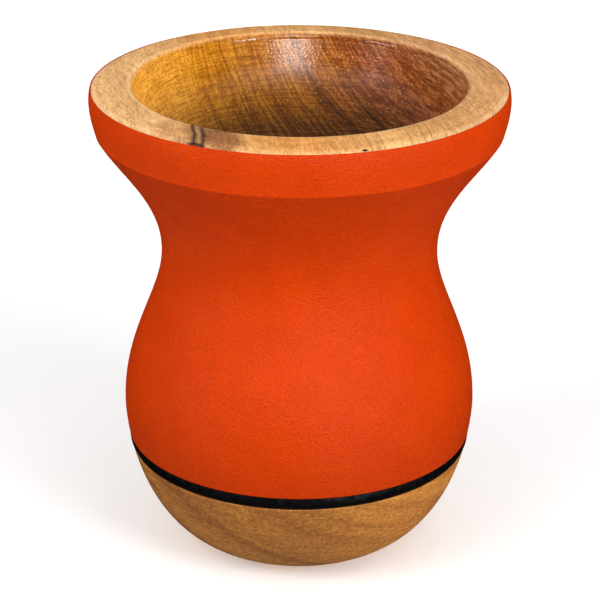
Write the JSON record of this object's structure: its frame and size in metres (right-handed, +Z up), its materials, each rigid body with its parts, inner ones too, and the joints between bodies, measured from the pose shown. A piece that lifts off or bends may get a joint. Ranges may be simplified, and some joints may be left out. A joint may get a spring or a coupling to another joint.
{
  "type": "mate cup",
  "caption": "Empty turned wooden mate cup with a wide crowned rim, a narrow neck, an orange leather sleeve, a black ring and a rounded wooden base.",
  "frame": {"origin": "centre of the flat foot, on the surface that the cup stands on", "axes": "+Z up along the turning axis, towards the mouth; the cup is round, and the pictured side faces -Y"},
  "size_m": [0.0852, 0.0852, 0.101],
  "materials": {
    "oiled_wood": "turned and oiled light brown hardwood, satin on the rim and base, glossier in the hollow",
    "orange_leather": "dyed orange smooth leather with a fine grain, satin",
    "black_rubber": "black, slightly glossy"
  },
  "bodies": {
    "root": {"wooden_cup": "oiled_wood", "leather_sleeve": "orange_leather", "black_ring": "black_rubber"}
  },
  "joints": []
}
